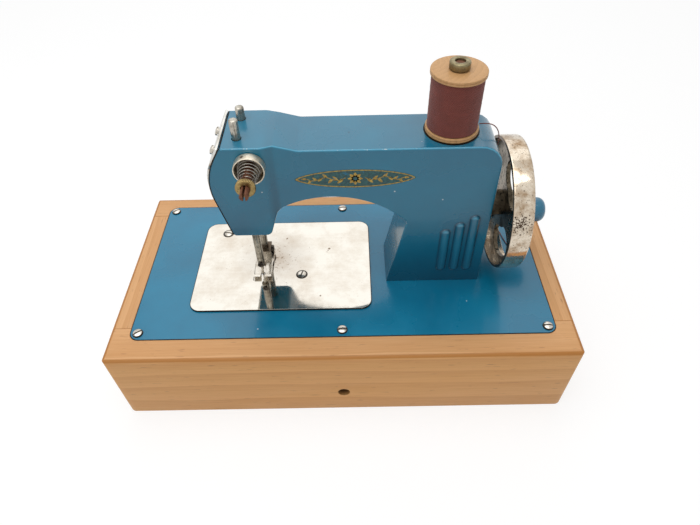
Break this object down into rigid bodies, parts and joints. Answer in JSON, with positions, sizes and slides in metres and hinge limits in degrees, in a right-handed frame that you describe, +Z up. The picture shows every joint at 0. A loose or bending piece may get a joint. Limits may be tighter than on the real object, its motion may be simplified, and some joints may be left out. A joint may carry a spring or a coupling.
{
  "type": "toy sewing machine",
  "caption": "Toy hand-cranked sewing machine: blue sheet-metal arm with needle bar, presser foot, thread tension, spool and handwheel, on a steel bed let into a wooden box base.",
  "frame": {"origin": "middle of the wooden base's underside", "axes": "+X along the arm towards the handwheel, +Y to the back, +Z up"},
  "size_m": [0.25, 0.13, 0.1761],
  "materials": {
    "beech": "oiled",
    "enamel": "gloss",
    "nickel": "worn nickel",
    "steel": "bright, aged",
    "brass": "aged",
    "thread": "matt cotton"
  },
  "bodies": {
    "frame": {"front_rail": "beech", "back_rail": "beech", "left_end_board": "beech", "right_end_board": "beech", "bed_plate": "enamel", "bed_screws": "steel", "stitch_plate": "nickel", "stitch_screws": "steel", "arm_shell": "enamel", "rear_cover": "enamel", "cover_screws": "steel", "face_plate": "nickel", "face_screws": "nickel", "inner_frame": "steel", "frame_screws": "steel", "upper_bar_guide": "steel", "lower_bar_guide": "steel", "presser_spring": "steel", "tension_stud": "steel", "tension_discs": "nickel", "tension_cup": "nickel", "tension_spring": "steel", "spool_pin": "brass", "inner_bush": "brass", "outer_bush": "brass", "lever_pin": "steel", "lever_clip": "steel", "shaft_hangers": "steel", "feed_guides": "steel", "loose_thread": "thread"},
    "drive": {"main_shaft": "steel", "crank_disc": "steel", "handwheel": "nickel", "hub_screw": "steel", "knob_pin": "steel"},
    "knob": {"crank_knob": "enamel"},
    "lever": {"rocking_lever": "steel"},
    "needle_group": {"needle_bar": "steel", "needle_collar": "brass", "needle": "nickel", "needle_screw": "steel"},
    "rod": {"drive_rod": "steel"},
    "looper_group": {"looper_shaft": "steel", "looper_crank": "steel", "looper": "nickel", "feed_crank": "steel"},
    "feed": {"feed_dog": "steel"},
    "presser_group": {"presser_bar": "steel", "presser_collar": "brass", "presser_foot": "nickel", "foot_screw": "steel"},
    "tension_knob": {"tension_nut": "brass"},
    "spool_group": {"spool": "beech", "thread_core": "thread", "thread_winding": "thread"},
    "spool_cap": {"spool_nut": "steel"}
  },
  "joints": [
    {"name": "handwheel_spin", "type": "hinge", "parent": "frame", "child": "drive", "pos_m": [0.08, 0.002, 0.0965], "axis": [1, 0, 0], "continuous": true},
    {"name": "crank_knob_spin", "type": "hinge", "parent": "drive", "child": "knob", "pos_m": [0.1, 0.01393, 0.08008], "axis": [1, 0, 0], "continuous": true},
    {"name": "lever_rock", "type": "hinge", "parent": "frame", "child": "lever", "pos_m": [0.007, 0.002, 0.124], "axis": [0, 1, 0], "range_deg": [0, 23.45]},
    {"name": "needle_bar_slide", "type": "slide", "parent": "frame", "child": "needle_group", "axis": [0, 0, 1], "range_m": [0, 0.0221]},
    {"name": "drive_rod_slide", "type": "slide", "parent": "frame", "child": "rod", "axis": [0, 0, 1], "range_m": [-0.013, 0]},
    {"name": "looper_rock", "type": "hinge", "parent": "frame", "child": "looper_group", "pos_m": [0, 0.002, 0.032], "axis": [1, 0, 0], "range_deg": [-46.63, 0]},
    {"name": "feed_slide", "type": "slide", "parent": "frame", "child": "feed", "axis": [0, 1, 0], "range_m": [0, 0.0036]},
    {"name": "presser_lift", "type": "slide", "parent": "frame", "child": "presser_group", "axis": [0, 0, 1], "range_m": [0, 0.0045], "stiffness_N_per_m": 300, "springref_m": -0.003, "deforming": ["presser_spring"]},
    {"name": "tension_nut_turn", "type": "hinge", "parent": "frame", "child": "tension_knob", "pos_m": [-0.0402, -0.031, 0.1358], "axis": [0, 1, 0], "range_deg": [-180, 180]},
    {"name": "spool_spin", "type": "hinge", "parent": "frame", "child": "spool_group", "pos_m": [0.0541, 0.002, 0.157], "axis": [0, 0, 1], "continuous": true},
    {"name": "spool_nut_turn", "type": "hinge", "parent": "frame", "child": "spool_cap", "pos_m": [0.0541, 0.002, 0.174], "axis": [0, 0, 1], "range_deg": [-180, 180]}
  ],
  "couplings": [
    {"joint": "needle_bar_slide", "follows": "lever_rock", "m_per_rad": 0.053752},
    {"joint": "drive_rod_slide", "follows": "lever_rock", "m_per_rad": -0.03144},
    {"joint": "looper_rock", "follows": "lever_rock", "ratio": -1.98},
    {"joint": "feed_slide", "follows": "lever_rock", "m_per_rad": 0.008668}
  ]
}
